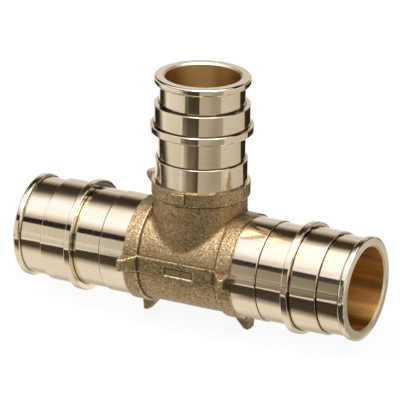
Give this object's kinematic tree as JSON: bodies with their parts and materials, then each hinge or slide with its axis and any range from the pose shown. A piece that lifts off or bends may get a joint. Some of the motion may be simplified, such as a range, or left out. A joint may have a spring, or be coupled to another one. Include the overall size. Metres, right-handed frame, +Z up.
{
  "type": "brass expansion tee",
  "caption": "Brass pipe tee with ribbed turned tails for expanded plastic tube on a forged centre with ring stops.",
  "frame": {"origin": "point where the axis of the run and the axis of the branch cross", "axes": "+X along the run to the right, +Z up the branch, and -Y to the side with the flat pad"},
  "size_m": [0.0946, 0.034, 0.0656],
  "materials": {
    "forged_brass": "as forged, matte and grainy",
    "turned_brass": "turned, bright"
  },
  "bodies": {
    "root": {"forged_body": "forged_brass", "left_run_tail": "turned_brass", "right_run_tail": "turned_brass", "branch_tail": "turned_brass"}
  },
  "joints": []
}
